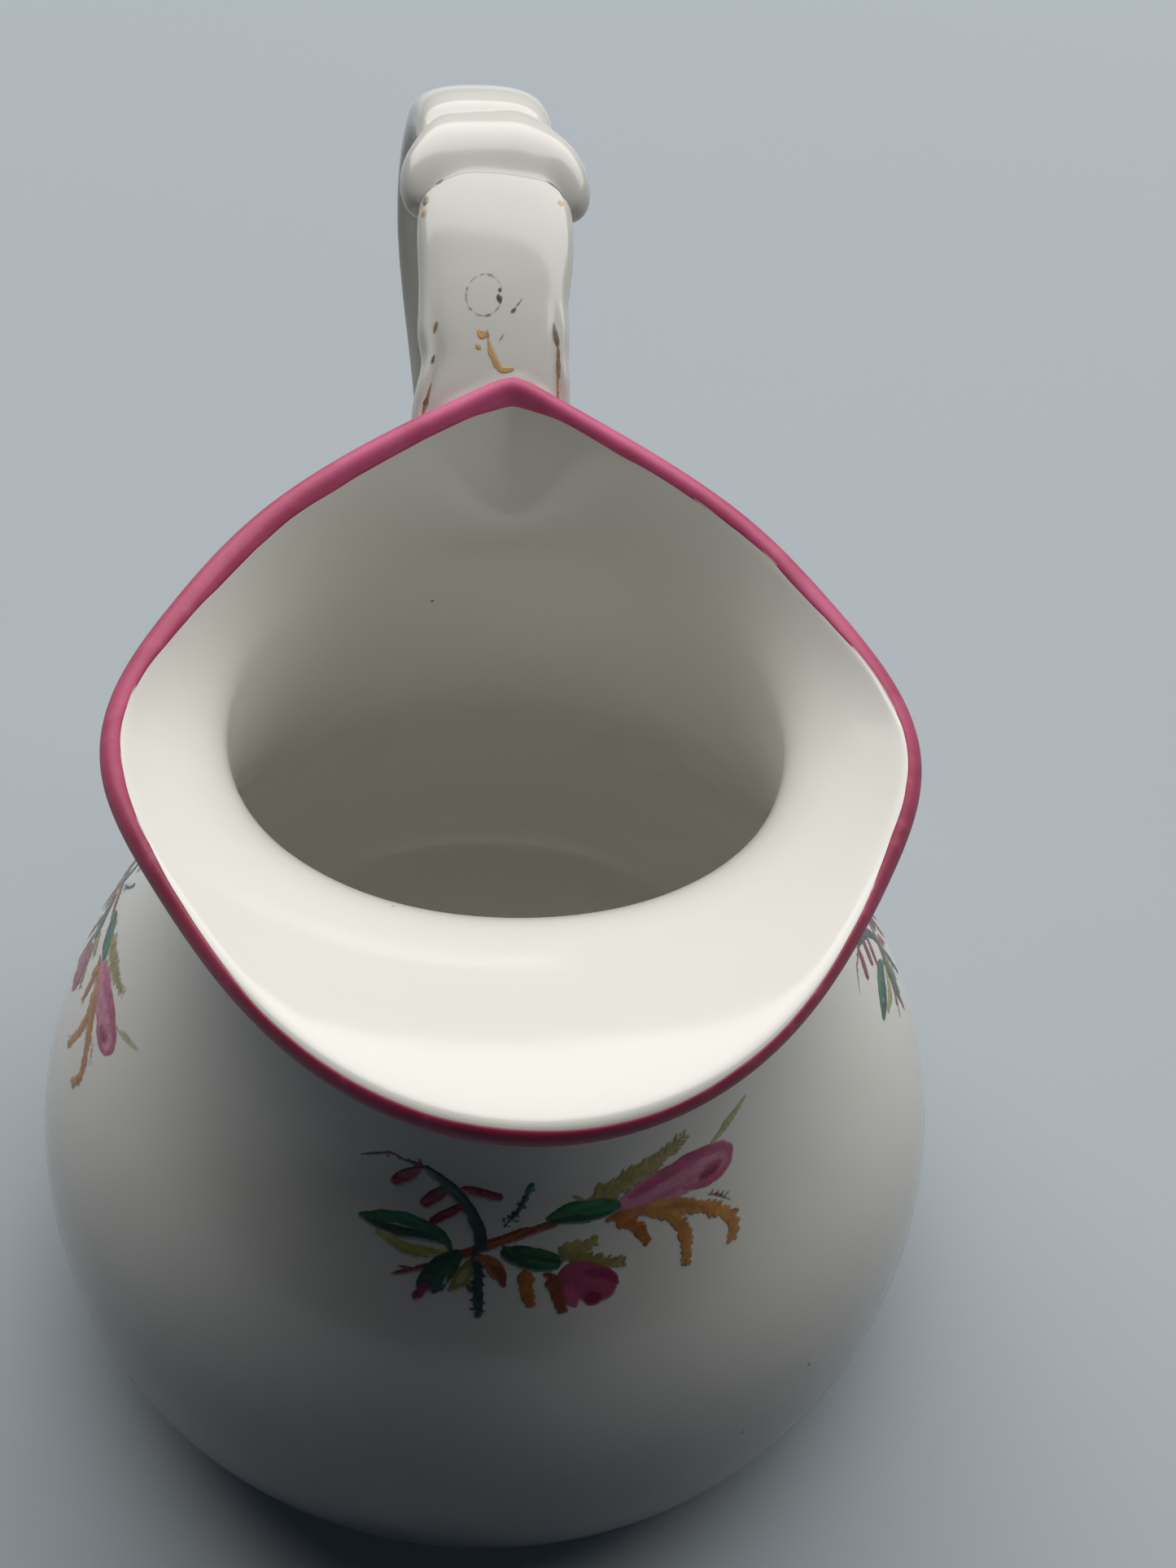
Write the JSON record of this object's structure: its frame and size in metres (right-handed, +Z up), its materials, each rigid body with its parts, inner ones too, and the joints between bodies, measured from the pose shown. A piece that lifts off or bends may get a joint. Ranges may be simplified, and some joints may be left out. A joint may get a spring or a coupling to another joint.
{
  "type": "cream jug",
  "caption": "Small bell-shaped porcelain cream jug with a flared pouring lip, a pinched back rim and an arched strap handle with a moulded band.",
  "frame": {"origin": "centre of the base of the whole jug's box, on the surface that the foot ring stands on", "axes": "+Z up, +Y towards the handle, -Y towards the pouring lip, +X across the jug to its right seen from behind the handle"},
  "size_m": [0.096, 0.1338, 0.1069],
  "materials": {
    "porcelain": "glossy"
  },
  "bodies": {
    "root": {"vessel": "porcelain", "handle_strap": "porcelain", "handle_band": "porcelain"}
  },
  "joints": []
}
